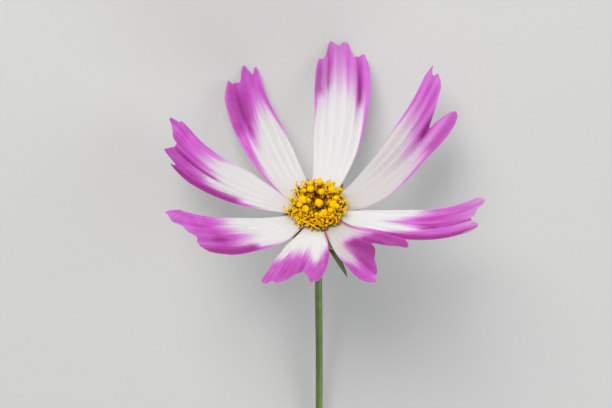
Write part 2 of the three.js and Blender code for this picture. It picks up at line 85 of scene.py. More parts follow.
# Each petal, clockwise from the top of the head as it faces the viewer. A place across a petal
# runs from -1 to 1, anticlockwise, and a place along it from 0 at its base to 1 at its tip.
# heading is its angle at the base and swing how far that turns by the tip. rise and roll are its
# slope and twist at base, middle and tip. necks are its widths at the base, for either edge, as
# shares of half_width. splay shifts a lobe sideways and raised lifts one (from this place, on
# this side, millimetres, start, run). slims makes a side narrower, or wider where it is negative
# (side, share, start, run). tip gives how far the teeth and notches reach. purple is where the
# purple starts, soft how gradually, and edges where it starts along either edge. folds are the
# creases below the notches, which also get painted shade (place, depth, width, start). dark are
# the deep purple streaks, partly the petal's own colour and partly painted shade (place at start,
# place at end, width, start, end, strength). shade is painted shade that dulls the white of
# petals turned from the light and of those in a neighbour's shadow, tip_pale fades the purple at
# the tip, and blush is the red flush on either side of the base.
PETALS = [
    dict(
        heading=72.5, swing=22, length=36.56, half_width=6.2, rise=(10, 31, 43),
        shade=0.25, tip_pale=0.26, soft=0.17,
        necks=(0.3, 0.54),
        tip=[(-1, 0.82), (-0.95, 0.865), (-0.84, 0.91), (-0.72, 0.905), (-0.6, 0.895), (-0.46, 0.9),
             (-0.36, 0.93), (-0.22, 0.985), (-0.12, 0.99), (0.14, 0.968), (0.3, 0.985), (0.44, 1),
             (0.54, 0.98), (0.68, 0.905), (0.8, 0.885), (0.92, 0.893), (1, 0.83)],
        purple=[(-1, 0.5), (-0.82, 0.64), (-0.6, 0.62), (-0.38, 0.72), (0, 0.8), (0.25, 0.79),
                (0.5, 0.74), (0.75, 0.7), (1, 0.66)],
        edges=(0.14, 0.4), blush=(0.1, 0.1),
        folds=[(-0.62, 0.42, 0.08, 0.35), (0.52, 0.35, 0.08, 0.35), (0.05, 0.15, 0.1, 0.5)],
        dark=[(-0.64, -0.6, 0.11, 0.61, 0.84, 0.9), (0.55, 0.5, 0.12, 0.7, 0.95, 0.55),
              (0.86, 0.86, 0.2, 0.66, 0.9, 0.7)],
    ),
    dict(
        heading=27, swing=34, length=40, half_width=5.8, rise=(8, 26, 46),
        shade=0.85, tip_pale=0.3, soft=0.18,
        necks=(0.44, 0.32), splay=[(-0.12, -1, -0.95, 0.5, 0.35)],
        slims=[(-1, -0.34, 0, 0.1), (-1, 0.29, 0.12, 0.45)],
        tip=[(-1, 0.69), (-0.96, 0.75), (-0.86, 0.795), (-0.7, 0.812), (-0.52, 0.8), (-0.34, 0.765),
             (-0.2, 0.7), (-0.13, 0.66), (-0.07, 0.695), (0.04, 0.8), (0.2, 0.892), (0.34, 0.928),
             (0.46, 0.95), (0.56, 0.964), (0.64, 0.954), (0.71, 0.937), (0.79, 0.958), (0.9, 1),
             (1, 0.92)],
        purple=[(-1, 0.38), (-0.75, 0.53), (-0.45, 0.56), (-0.15, 0.52), (0.1, 0.55), (0.3, 0.64),
                (0.5, 0.67), (0.75, 0.68), (1, 0.62)],
        edges=(0.12, 0.42), blush=(0.2, 0.1),
        folds=[(-0.14, 0.75, 0.1, 0.2), (0.62, 0.3, 0.07, 0.5), (0.3, 0.2, 0.08, 0.3),
               (-0.6, 0.2, 0.1, 0.3)],
        dark=[(-0.08, -0.04, 0.16, 0.58, 0.78, 1), (0.35, 0.25, 0.1, 0.6, 0.8, 0.25),
              (-0.75, -0.8, 0.25, 0.55, 0.9, 0.6), (0.66, 0.64, 0.06, 0.7, 0.9, 0.2)],
    ),
    dict(
        heading=-15, swing=6, length=34, half_width=5.5, rise=(0, 13, 54), roll=(0, -10, -12),
        shade=0.1, tip_pale=0.5,
        necks=(0.34, 0.34), splay=[(-0.3, -1, -0.6, 0.5, 0.35), (-0.5, -1, -1.2, 0.8, 0.25)],
        raised=[(-0.5, -1, -0.45, 0.5, 0.4)],
        tip=[(-1, 0.92), (-0.92, 0.985), (-0.82, 1.03), (-0.7, 1.015), (-0.5, 0.955), (-0.25, 0.895),
             (0.1, 0.88), (0.35, 0.91), (0.55, 0.955), (0.72, 0.985), (0.84, 0.968), (0.93, 0.94),
             (1, 0.9)],
        purple=[(-1, 0.1), (-0.8, 0.17), (-0.56, 0.35), (-0.38, 0.51), (-0.22, 0.56), (-0.08, 0.54),
                (0.08, 0.45), (0.25, 0.37), (0.46, 0.43), (0.72, 0.55), (1, 0.58)],
        edges=(0.14, 0.5), blush=(0.9, 0.1),
        folds=[(-0.13, 0.5, 0.07, 0.45), (0.2, 0.35, 0.16, 0.25), (0.6, 0.15, 0.1, 0.3)],
        dark=[(-0.17, -0.16, 0.08, 0.535, 0.59, 1), (-0.1, -0.06, 0.1, 0.555, 0.68, 0.95),
              (-0.09, -0.07, 0.05, 0.58, 0.96, 0.6), (0.07, 0.06, 0.16, 0.52, 0.85, 0.7),
              (-0.86, -0.82, 0.3, 0.34, 0.97, 1), (0.5, 0.5, 0.35, 0.5, 1, 0.2)],
    ),
    # Petal 4 lies in petal 3's shadow: its high shade and its dark streaks are partly painted shade.
    dict(
        heading=-58, swing=-6, length=31, half_width=5.4, rise=(6, 30, 34), roll=(0, 8, 18),
        shade=0.8, tip_pale=0.05, soft=0.15,
        necks=(0.34, 0.54), splay=[(-0.2, -1, -0.8, 0.4, 0.5), (0.02, 1, 1.9, 0.1, 0.35)],
        raised=[(0.2, 1, 0.3, 0.15, 0.5)],
        tip=[(-1, 0.79), (-0.95, 0.865), (-0.87, 0.91), (-0.76, 0.925), (-0.64, 0.9), (-0.5, 0.85),
             (-0.25, 0.76), (-0.05, 0.66), (0.1, 0.54), (0.24, 0.43), (0.34, 0.385), (0.41, 0.42),
             (0.5, 0.57), (0.6, 0.72), (0.7, 0.8), (0.8, 0.82), (0.88, 0.8), (0.95, 0.76), (1, 0.7)],
        purple=[(-1, 0.32), (-0.85, 0.49), (-0.62, 0.58), (-0.42, 0.48), (-0.2, 0.35), (0, 0.29),
                (0.2, 0.26), (0.5, 0.27), (1, 0.25)],
        edges=(0.3, 0.18), blush=(0.7, 0.9),
        folds=[(0.26, 0.6, 0.14, 0.12), (-0.35, 0.45, 0.1, 0.2), (-0.7, 0.2, 0.07, 0.3)],
        dark=[(0.12, 0.1, 0.41, 0.225, 0.8, 1), (-0.25, -0.3, 0.2, 0.42, 0.95, 0.65),
              (0.45, 0.45, 0.3, 0.26, 0.62, 0.95), (0.7, 0.7, 0.42, 0.3, 1, 0.8),
              (-0.85, -0.85, 0.16, 0.5, 1, 0.35)],
    ),
    dict(
        heading=-101, swing=-4, length=30, half_width=6.2, rise=(8, 27, 28), roll=(0, 4, 10),
        shade=0, tip_pale=0.02,
        necks=(0.34, 0.44), splay=[(0.3, 1, 0.5, 0.2, 0.4)],
        slims=[(-1, 0.1, 0.25, 0.2), (-1, -0.06, 0.65, 0.3), (1, 0.09, 0.3, 0.3)],
        tip=[(-1, 0.91), (-0.93, 0.955), (-0.84, 0.955), (-0.66, 0.9), (-0.45, 0.89), (-0.3, 0.895),
             (-0.14, 0.82), (0, 0.69), (0.15, 0.6), (0.25, 0.62), (0.42, 0.71), (0.6, 0.79),
             (0.78, 0.84), (0.88, 0.845), (0.96, 0.81), (1, 0.74)],
        purple=[(-1, 0.58), (-0.85, 0.55), (-0.65, 0.42), (-0.4, 0.37), (-0.1, 0.35), (0.15, 0.33),
                (0.32, 0.45), (0.5, 0.5), (0.66, 0.4), (0.85, 0.28), (1, 0.18)],
        edges=(0.66, 0.12), blush=(0.1, 1.0),
        folds=[(0.12, 0.6, 0.13, 0.25), (-0.4, 0.25, 0.1, 0.3), (0.7, 0.2, 0.08, 0.35)],
        dark=[(0.1, 0.12, 0.14, 0.44, 0.62, 0.5), (-0.45, -0.4, 0.08, 0.45, 0.8, 0.35),
              (0.9, 0.9, 0.1, 0.3, 0.8, 0.45), (-0.55, -0.6, 0.4, 0.5, 1, 0.25),
              (0.7, 0.75, 0.3, 0.45, 1, 0.3)],
    ),
    dict(
        heading=-148, swing=-22, length=33.5, half_width=6, rise=(3, 19, 42),
        shade=0.25, tip_pale=0.27,
        necks=(0.34, 0.34), splay=[(-0.5, -1, 0.2, 0.4, 0.4), (0.4, 1, -0.4, 0.3, 0.4)],
        slims=[(1, -0.17, 0.02, 0.12), (1, 0.145, 0.2, 0.22)],
        tip=[(-1, 0.86), (-0.9, 0.95), (-0.76, 0.98), (-0.6, 0.94), (-0.4, 0.87), (-0.2, 0.795),
             (-0.05, 0.742), (0.08, 0.733), (0.22, 0.755), (0.4, 0.75), (0.72, 0.74), (0.9, 0.7),
             (1, 0.6)],
        purple=[(-1, 0.52), (-0.7, 0.54), (-0.4, 0.5), (-0.15, 0.43), (0.05, 0.4), (0.25, 0.46),
                (0.5, 0.46), (0.75, 0.38), (1, 0.24)],
        edges=(0.54, 0.14), blush=(0.1, 0.2),
        folds=[(0.05, 0.55, 0.13, 0.2), (0.5, 0.25, 0.1, 0.3), (-0.5, 0.2, 0.1, 0.3)],
        dark=[(0.08, 0.06, 0.24, 0.53, 0.66, 0.85), (0.12, 0.08, 0.3, 0.48, 0.8, 0.4),
              (0.84, 0.82, 0.36, 0.36, 0.8, 1)],
    ),
    dict(
        heading=166, swing=-8, length=35.4, half_width=5.6, rise=(4, 24, 58),
        shade=0.4, tip_pale=0.04,
        necks=(0.34, 0.34), splay=[(-0.3, -1, -0.6, 0.1, 0.3), (0.3, 1, 0.6, 0.25, 0.4)],
        slims=[(-1, 0.2, 0.32, 0.3), (-1, -0.26, 0.7, 0.22)],
        tip=[(-1, 0.89), (-0.97, 0.93), (-0.88, 0.925), (-0.8, 0.96), (-0.72, 1), (-0.6, 0.998),
             (-0.5, 0.97), (-0.4, 0.943), (-0.26, 0.905), (-0.1, 0.868), (0.12, 0.866), (0.34, 0.898),
             (0.48, 0.922), (0.57, 0.895), (0.65, 0.815), (0.71, 0.808), (0.78, 0.836), (0.86, 0.82),
             (0.94, 0.765), (1, 0.68)],
        purple=[(-1, 0.54), (-0.8, 0.62), (-0.5, 0.67), (-0.15, 0.6), (0.1, 0.57), (0.35, 0.64),
                (0.5, 0.57), (0.7, 0.4), (1, 0.2)],
        edges=(0.5, 0.1), blush=(0.05, 0.05),
        folds=[(-0.22, 0.3, 0.08, 0.35), (0.12, 0.45, 0.07, 0.3), (0.56, 0.35, 0.08, 0.25)],
        dark=[(0.12, 0.08, 0.09, 0.53, 0.9, 1), (0.62, 0.55, 0.09, 0.4, 0.78, 0.75),
              (0.88, 0.84, 0.31, 0.35, 0.9, 1), (0.36, 0.34, 0.3, 0.6, 1, 0.42),
              (-0.1, -0.15, 0.25, 0.66, 1, 0.25)],
    ),
    dict(
        heading=129, swing=-24.5, length=34.4, half_width=5.5, rise=(6, 27, 43),
        shade=0.4, tip_pale=0.08,
        necks=(0.5, 0.56), slims=[(-1, 0.36, 0.3, 0.55), (1, 0.26, 0.78, 0.2)],
        splay=[(0.1, 1, 0.55, 0.1, 0.35)],
        tip=[(-1, 0.89), (-0.96, 0.94), (-0.88, 0.975), (-0.78, 0.97), (-0.54, 0.93), (-0.33, 0.955),
             (-0.16, 0.99), (-0.06, 1), (0.06, 0.985), (0.14, 0.95), (0.19, 0.91), (0.24, 0.898),
             (0.6, 0.898), (0.76, 0.908), (0.86, 0.925), (0.93, 0.9), (1, 0.83)],
        purple=[(-1, 0.5), (-0.8, 0.7), (-0.5, 0.76), (-0.2, 0.72), (0.05, 0.64), (0.3, 0.5),
                (0.52, 0.54), (0.68, 0.42), (0.85, 0.28), (1, 0.14)],
        edges=(0.32, 0.06), blush=(0.05, 0.05),
        folds=[(0.14, 0.5, 0.07, 0.25), (0.45, 0.55, 0.1, 0.3), (-0.45, 0.12, 0.14, 0.4)],
        dark=[(0.35, 0.38, 0.17, 0.62, 0.88, 1), (0.33, 0.36, 0.08, 0.555, 0.74, 0.95),
              (0.75, 0.7, 0.28, 0.58, 0.92, 0.6), (0.1, 0.08, 0.05, 0.66, 0.9, 0.4),
              (-0.42, -0.42, 0.05, 0.76, 0.92, 0.3)],
    ),
]

# Disc of florets. Buds stand within HOLLOW_TO of its axis, narrow columns within RING_TO, wider
# ones within COLUMNS_TO and open florets beyond. Round RISE_AT they grow from low to tall.
DISC_PROFILE = [(0, -0.35), (4.4, -0.35), (4.62, 0.1), (4.5, 0.5), (3.9, 0.85), (2, 1.02), (0, 1.1)]
FLORETS = 60
FRONT_FLORETS = 9
FRONT_ARC = (196, 148)  # heading at which the front florets start, and how far they go round
FLORET_TURN = 137.508
FLORET_SPREAD = 6.7
FLORET_ROOTS = 0.62  # where a floret is rooted, as a share of its reach
FLORET_ROOT_HEIGHT = 0.3
RISE_AT = 2.9
HOLLOW_TO = 2.4
RING_TO = 3.6
COLUMNS_TO = 4.6
HOLLOW_BUDS = 50
HOLLOW_SPAN = 2.5
LOBE_THICKNESS = 0.17
STYLE_RADIUS = 0.13
STYLE_LENGTHS = (1.1, 1.8)
# Florets that carry a large ball of pollen, by number, with its radius
BALLS = {0: 0.95, 9: 0.8, 10: 0.9, 11: 0.8, 12: 0.88, 13: 0.95, 14: 0.8, 16: 0.85, 17: 0.9, 19: 0.75}
# Corollas by kind of floret: the mouth's radius, the least and greatest length, width and curl of
# a lobe, and the slope at which it starts. Curl and slope are in degrees.
COROLLAS = {
    "ball": dict(radius=0.42, lengths=(0.8, 1.1), widths=(0.3, 0.38), curls=(5, 30), start=88),
    "inner": dict(radius=0.42, lengths=(0.7, 1.0), widths=(0.36, 0.48), curls=(5, 30), start=84),
    "column": dict(radius=0.5, lengths=(0.7, 1.0), widths=(0.36, 0.48), curls=(90, 150), start=84),
    "open": dict(radius=0.56, lengths=(1.1, 1.7), widths=(0.22, 0.32), curls=(110, 260), start=76),
}
# Painted shade on the florets: a floret's colour turns from dark low down to its lit colour high
# up, between these heights over the disc's crown. A part with a shade drop is coloured as if it
# lay that much lower, or higher where the drop is negative.
SHADE_HEIGHTS_IN_DISC = (1.5, 3.0)
DISC_CROWN = 0.022
TUBE_SHADE_DROP = 1.3
LOBE_SHADE_DROP = -0.5
HOLLOW_SHADE_DROP = -1.05
# Looks of the florets' parts: material, colour low down (painted shade), colour high up, roughness,
# grain, bump
FLORET_LOOKS = {
    "bud": ("bud_olive", (0.13, 0.075, 0.004), (0.6, 0.36, 0.01), 0.55, 1200, 0.3),
    "corolla": ("corolla_yellow", (0.13, 0.034, 0.003), (1.0, 0.61, 0.0), 0.5, 700, 0.3),
    "anther": ("anther_brown", (0.045, 0.009, 0.003), (0.17, 0.055, 0.005), 0.5, 1200, 0.4),
    "style": ("style_yellow", (0.84, 0.44, 0.0), (1.0, 0.67, 0.0), 0.55, 900, 0.4),
    "pollen": ("pollen_gold", (0.72, 0.28, 0.0), (1.0, 0.66, 0.0), 0.7, 2200, 0.8),
}

# Calyx
CUP_PROFILE = [
    (0, -0.75), (5.1, -0.75), (5.4, -0.95), (5.3, -1.4), (4.5, -2.35), (3.3, -3.2), (2.1, -3.95),
    (1.35, -4.45), (1.02, -4.8), (0, -4.8),
]
BRACTS = 8
# Each ring of bracts: the heading of its first one, where and how it grows, each one's turn to
# the side (swings) and greater slope (bends), its outline (place along, share of half_width), the
# height of its keel, how far its edges curl up and its grid
INNER_BRACTS = dict(
    heading=19, root=3.9, height=-1.05, length=7.4, half_width=2.35, rise=(0, 4, 6),
    roll=(0, 0, 0), swings=(0,) * BRACTS, bends=(0,) * BRACTS, pale_rim=0.8,
    outline=[(0, 0.7), (0.35, 1), (0.65, 0.86), (0.85, 0.5), (0.95, 0.22), (1, 0.03)],
    thickness=0.3, keel=0.08, curl=0.12, columns=17, rows=26,
)
OUTER_BRACTS = dict(
    heading=-71, root=3.4, height=-2.2, length=13.2, half_width=0.98, rise=(-14, -6, -22),
    roll=(0, 0, 0), swings=(8, 20, 36, 26, 16, 12, -10, -4), bends=(2, 6, 6, 4, -3, 2, 4, 6),
    pale_rim=0.15,
    outline=[(0, 1.9), (0.1, 1.35), (0.22, 1.05), (0.55, 0.82), (0.8, 0.5), (0.93, 0.26), (1, 0.04)],
    thickness=0.42, keel=0.14, curl=0.2, columns=11, rows=40,
)

# Camera, as the photograph is taken: the flower's plane is seen from this elevation
VIEW_ELEVATION = 49
VIEW_DISTANCE = 420
MM_PER_PIXEL = 0.22
CENTRE_PIXEL = (318.5, 211.5)
IMAGE_SIZE = (612, 408)
SENSOR_WIDTH = 36

# Lights, all pointed at one spot: name, place, size, power and colour
LIT_SPOT = (0, 0.03, 0.02)
LIGHTS = [
    ("key", (-0.2, 0.68, 0.54), 0.45, 5.5, (1, 0.985, 0.96)),
    ("back", (0.25, -0.6, 0.35), 0.5, 2.0, (0.97, 0.98, 1)),
    ("fill", (0.6, 0.1, 0.5), 0.6, 1.0, (0.96, 0.98, 1)),
]


def rotation(axis, degrees):
    return np.array(Matrix.Rotation(math.radians(degrees), 3, axis))


HEAD_ROTATION = rotation("X", HEAD_LEAN - 90) @ rotation("Z", -HEAD_TURN)


def to_row(points):
    """Points of the head, in millimetres, in the row frame in metres."""
    return (points @ HEAD_ROTATION.T + HEAD_AT) * MM


def smoothstep(low, high, value):
    share = np.clip((value - low) / (high - low), 0, 1)
    return share * share * (3 - 2 * share)


def through(values, along):
    """Runs smoothly through the values given for base, middle and tip."""
    base, middle, tip = values
    late = 2 * along - 1
    return -base * (1 - along) * late + 4 * middle * along * (1 - along) + tip * along * late


def bent(first, last, first_slope, last_slope, share):
    """A smooth run between two values that has the given slopes at its ends."""
    rest = 1 - share
    ends = first * (1 + 2 * share) * rest**2 + last * (3 - 2 * share) * share**2
    return ends + first_slope * share * rest**2 - last_slope * rest * share**2


def eased(points, place):
    """The value at a place between points of place and value, even on slopes, round at peaks."""
    places, values = np.array(points, float).T
    gaps = np.diff(places)
    slopes = np.diff(values) / gaps
    size = np.abs(slopes)
    alike = np.maximum(slopes[1:] * slopes[:-1], 0)
    inner = np.sign(slopes[1:]) * 2 * alike / (size[1:] + size[:-1] + 1e-9)
    turns = np.r_[slopes[0], inner, slopes[-1]]
    at = np.clip(np.searchsorted(places, place) - 1, 0, len(gaps) - 1)
    share = np.clip((place - places[at]) / gaps[at], 0, 1)
    smooth = bent(values[at], values[at + 1], turns[at] * gaps[at], turns[at + 1] * gaps[at], share)
    straight = values[at] + (values[at + 1] - values[at]) * share
    return (1 - ROUNDNESS) * straight + ROUNDNESS * smooth


def unit(vectors):
    return vectors / np.linalg.norm(vectors, axis=-1, keepdims=True)


def direction(heading, rise):
    flat = np.cos(rise)
    return np.stack([flat * np.cos(heading), flat * np.sin(heading), np.sin(rise)], -1)


def flat_way(heading):
    return np.array([math.cos(heading), math.sin(heading), 0])


def blade_way(shape, along):
    """A blade's heading and its direction at each place along it."""
    heading = np.radians(shape["heading"] + shape["swing"] * along)
    return heading, direction(heading, np.radians(through(shape["rise"], along)))


def midrib(shape):
    """The midrib of a blade as points at even steps."""
    way = blade_way(shape, (np.arange(BLADE_STEPS) + 0.5) / BLADE_STEPS)[1]
    first = shape["root"] * flat_way(math.radians(shape["heading"])) + [0, 0, shape["height"]]
    return np.vstack([first, first + np.cumsum(way * shape["length"] / BLADE_STEPS, 0)])


def blade_points(shape, across, along, half, lift):
    """Points of a curved blade, lift above the flat cross-section at each of them."""
    rib = midrib(shape)
    places = np.linspace(0, 1, len(rib))
    middle = np.stack([np.interp(along, places, rib[:, k]) for k in range(3)], -1)
    heading, way = blade_way(shape, along)
    level = np.stack([-np.sin(heading), np.cos(heading), 0 * heading], -1)
    upward = np.cross(way, level)
    roll = np.radians(through(shape["roll"], along))[..., None]
    side = level * np.cos(roll) + upward * np.sin(roll)
    face = upward * np.cos(roll) - level * np.sin(roll)
    return middle + side * (across * half)[..., None] + face * lift[..., None]


def blade_uv(across, along, number):
    """The map of both faces of a blade, moved on by its number so that no two are alike."""
    return np.tile(np.stack([across / 2 + 0.5 + number, along], -1).reshape(-1, 2), (2, 1))


class Pile:
    """Collects vertices and faces of many small pieces for one mesh."""

    def __init__(self):
        self.points = []
        self.faces = []
        self.ridge_highlights = []
        self.shade_drops = []
        self.count = 0

    def add(self, points, faces, ridge_highlight=None, drop=0.0):
        self.points.append(points)
        self.faces += [tuple(i + self.count for i in face) for face in faces]
        self.ridge_highlights.append(np.zeros(len(points)) if ridge_highlight is None else ridge_highlight)
        self.shade_drops.append(np.full(len(points), drop))
        self.count += len(points)

    def mesh(self, name):
        points = np.vstack(self.points)
        # painted shade: parts low in the disc, and those with a shade drop, take the darker colour
        above = points[:, 2] + DISC_CROWN * (points[:, 0] ** 2 + points[:, 1] ** 2)
        above = above - np.concatenate(self.shade_drops)
        values = {"high": smoothstep(*SHADE_HEIGHTS_IN_DISC, above), "ridge_highlight": np.concatenate(self.ridge_highlights)}
        return new_mesh(name, points, self.faces, values)


def new_object(name, data):
    thing = bpy.data.objects.new(name, data)
    bpy.context.scene.collection.objects.link(thing)
    return thing


def new_mesh(name, points, faces, values=None, uv=None):
    """A smooth mesh object from points of the head, with named values on its vertices."""
    mesh = bpy.data.meshes.new(name)
    mesh.from_pydata(to_row(points).tolist(), [], faces)
    for key, array in (values or {}).items():
        layer = mesh.attributes.new(key, "FLOAT", "POINT")
        layer.data.foreach_set("value", np.asarray(array, np.float32).ravel())
    if uv is not None:
        corners = np.zeros(len(mesh.loops), np.int32)
        mesh.loops.foreach_get("vertex_index", corners)
        layer = mesh.uv_layers.new(name="blade")
        layer.data.foreach_set("uv", uv[corners].astype(np.float32).ravel())
    mesh.shade_smooth()
    mesh.update()
    return new_object(name, mesh)


def sheet(grid, thickness):
    """A closed thin sheet from a grid of points in rows: its vertices and its faces."""
    rows, wide = grid.shape[:2]
    along = np.gradient(grid, axis=0)
    across = np.gradient(grid, axis=1)
    normal = unit(np.cross(along, across) + 1e-12)
    offset = normal * (thickness / 2)[..., None]
    points = np.vstack([(grid + offset).reshape(-1, 3), (grid - offset).reshape(-1, 3)])
    under = rows * wide
    row, column = np.meshgrid(np.arange(rows - 1), np.arange(wide - 1), indexing="ij")
    a = (row * wide + column).ravel()
    b = a + wide
    c = b + 1
    d = a + 1
    faces = np.vstack([np.stack([a, b, c, d], -1), np.stack([d, c, b, a], -1) + under]).tolist()
    rim = [row * wide for row in range(rows - 1)]
    rim += [(rows - 1) * wide + column for column in range(wide - 1)]
    rim += [row * wide + wide - 1 for row in range(rows - 1, 0, -1)]
    rim += list(range(wide - 1, 0, -1))
    faces += [(q, p, p + under, q + under) for p, q in zip(rim, rim[1:] + rim[:1])]
    return points, faces


def ringed_faces(rings, sides):
    """Faces of a closed solid whose points are its rings in turn, then its two end points."""
    faces = []
    for low in range(0, (rings - 1) * sides, sides):
        for side in range(sides):
            after = (side + 1) % sides
            faces.append((low + side, low + after, low + sides + after, low + sides + side))
    end = rings * sides
    for side in range(sides):
        after = (side + 1) % sides
        faces.append((end, after, side))
        faces.append((end + 1, end - sides + side, end - sides + after))
    return faces


def tube(path, radii, sides):
    """A closed round tube along a path, with the radii of its rings, one each or a row of sides."""
    if radii.ndim == 1:
        radii = np.repeat(radii[:, None], sides, 1)
    way = unit(np.gradient(path, axis=0))
    first = np.cross(way[0], [1, 0, 0] if abs(way[0][0]) < 0.8 else [0, 1, 0])
    first /= np.linalg.norm(first)
    angle = 2 * np.pi * np.arange(sides) / sides
    points = []
    for k, point in enumerate(path):
        first = first - way[k] * (first @ way[k])
        first /= np.linalg.norm(first)
        second = np.cross(way[k], first)
        ring = np.outer(np.cos(angle), first) + np.outer(np.sin(angle), second)
        points.append(point + ring * radii[k][:, None])
    return np.vstack(points + [path[:1], path[-1:]]), ringed_faces(len(path), sides)


def turned(profile, sides, ripple=None):
    """A solid turned about Z from a profile of radius and height whose ends lie on the axis."""
    profile = np.array(profile, float)
    inner = profile[1:-1]
    angle = 2 * np.pi * np.arange(sides) / sides
    radius = np.repeat(inner[:, :1], sides, 1)
    if ripple is not None:
        radius = radius * ripple(angle[None, :], inner[:, 1:])
    height = np.repeat(inner[:, 1:], sides, 1)
    points = np.stack([radius * np.cos(angle), radius * np.sin(angle), height], -1).reshape(-1, 3)
    points = np.vstack([points, [0, 0, profile[0][1]], [0, 0, profile[-1][1]]])
    faces = ringed_faces(len(inner), sides)
    if profile[0][1] > profile[-1][1]:
        faces = [face[::-1] for face in faces]
    return points, faces


def finer(profile, steps):
    """A smooth profile through the given points, at even steps."""
    profile = np.array(profile, float)
    reach = np.r_[0, np.cumsum(np.linalg.norm(np.diff(profile, axis=0), axis=1))]
    even = np.linspace(0, reach[-1], steps)
    slope = np.gradient(profile, reach, axis=0)
    at = np.clip(np.searchsorted(reach, even) - 1, 0, len(reach) - 2)
    span = (reach[at + 1] - reach[at])[:, None]
    share = (even - reach[at])[:, None] / span
    return bent(profile[at], profile[at + 1], slope[at] * span, slope[at + 1] * span, share)


# Materials


def give(tree, node, inputs):
    """Sets a node's inputs, each to a number, a vector or a colour, or links it to a socket."""
    for key, value in inputs.items():
        socket = node.inputs[key]
        if isinstance(value, bpy.types.NodeSocket):
            tree.links.new(value, socket)
        elif socket.type == "RGBA":
            socket.default_value = (*value, 1)
        else:
            socket.default_value = value


def add_node(tree, kind, inputs, **settings):
    node = tree.nodes.new("ShaderNode" + kind)
    for key, value in settings.items():
        setattr(node, key, value)
    give(tree, node, inputs)
    return node


def fresh(name, roughness):
    material = bpy.data.materials.new(name)
    material.use_nodes = True
    tree = material.node_tree
    shader = tree.nodes["Principled BSDF"]
    give(tree, shader, {"Roughness": roughness})
    return material, tree, shader


def attribute(tree, name):
    return add_node(tree, "Attribute", {}, attribute_name=name).outputs["Fac"]


def math_node(tree, operation, *values, clamp=False):
    inputs = dict(enumerate(values))
    return add_node(tree, "Math", inputs, operation=operation, use_clamp=clamp).outputs[0]


def times(tree, first, second):
    return math_node(tree, "MULTIPLY", first, second)


def mixed(tree, share, first, second, blend="MIX"):
    inputs = {0: share, 6: first, 7: second}
    settings = dict(data_type="RGBA", blend_type=blend, clamp_factor=True)
    return add_node(tree, "Mix", inputs, **settings).outputs[2]


def ramp(tree, value, stops):
    node = add_node(tree, "ValToRGB", {0: value})
    elements = node.color_ramp.elements
    for element, (place, colour) in zip(elements, (stops[0], stops[-1])):
        element.position = place
        element.color = (*colour, 1)
    for place, colour in stops[1:-1]:
        elements.new(place).color = (*colour, 1)
    return node.outputs[0]


def noise(tree, coordinates, scale, detail, stretch=(1, 1, 1)):
    mapping = add_node(tree, "Mapping", {"Scale": stretch, "Vector": coordinates})
    inputs = {"Scale": scale, "Detail": detail, "Vector": mapping.outputs[0]}
    return add_node(tree, "TexNoise", inputs).outputs["Fac"]


def smooth_range(tree, value, low, high):
    inputs = {"Value": value, "From Min": low, "From Max": high}
    return add_node(tree, "MapRange", inputs, interpolation_type="SMOOTHSTEP").outputs[0]


def bump(tree, shader, height, strength, distance):
    inputs = {"Strength": strength, "Distance": distance, "Height": height}
    give(tree, shader, {"Normal": add_node(tree, "Bump", inputs).outputs[0]})


def object_space(tree):
    return add_node(tree, "TexCoord", {}).outputs["Object"]


def blade_space(tree):
    return add_node(tree, "UVMap", {}, uv_map="blade").outputs[0]


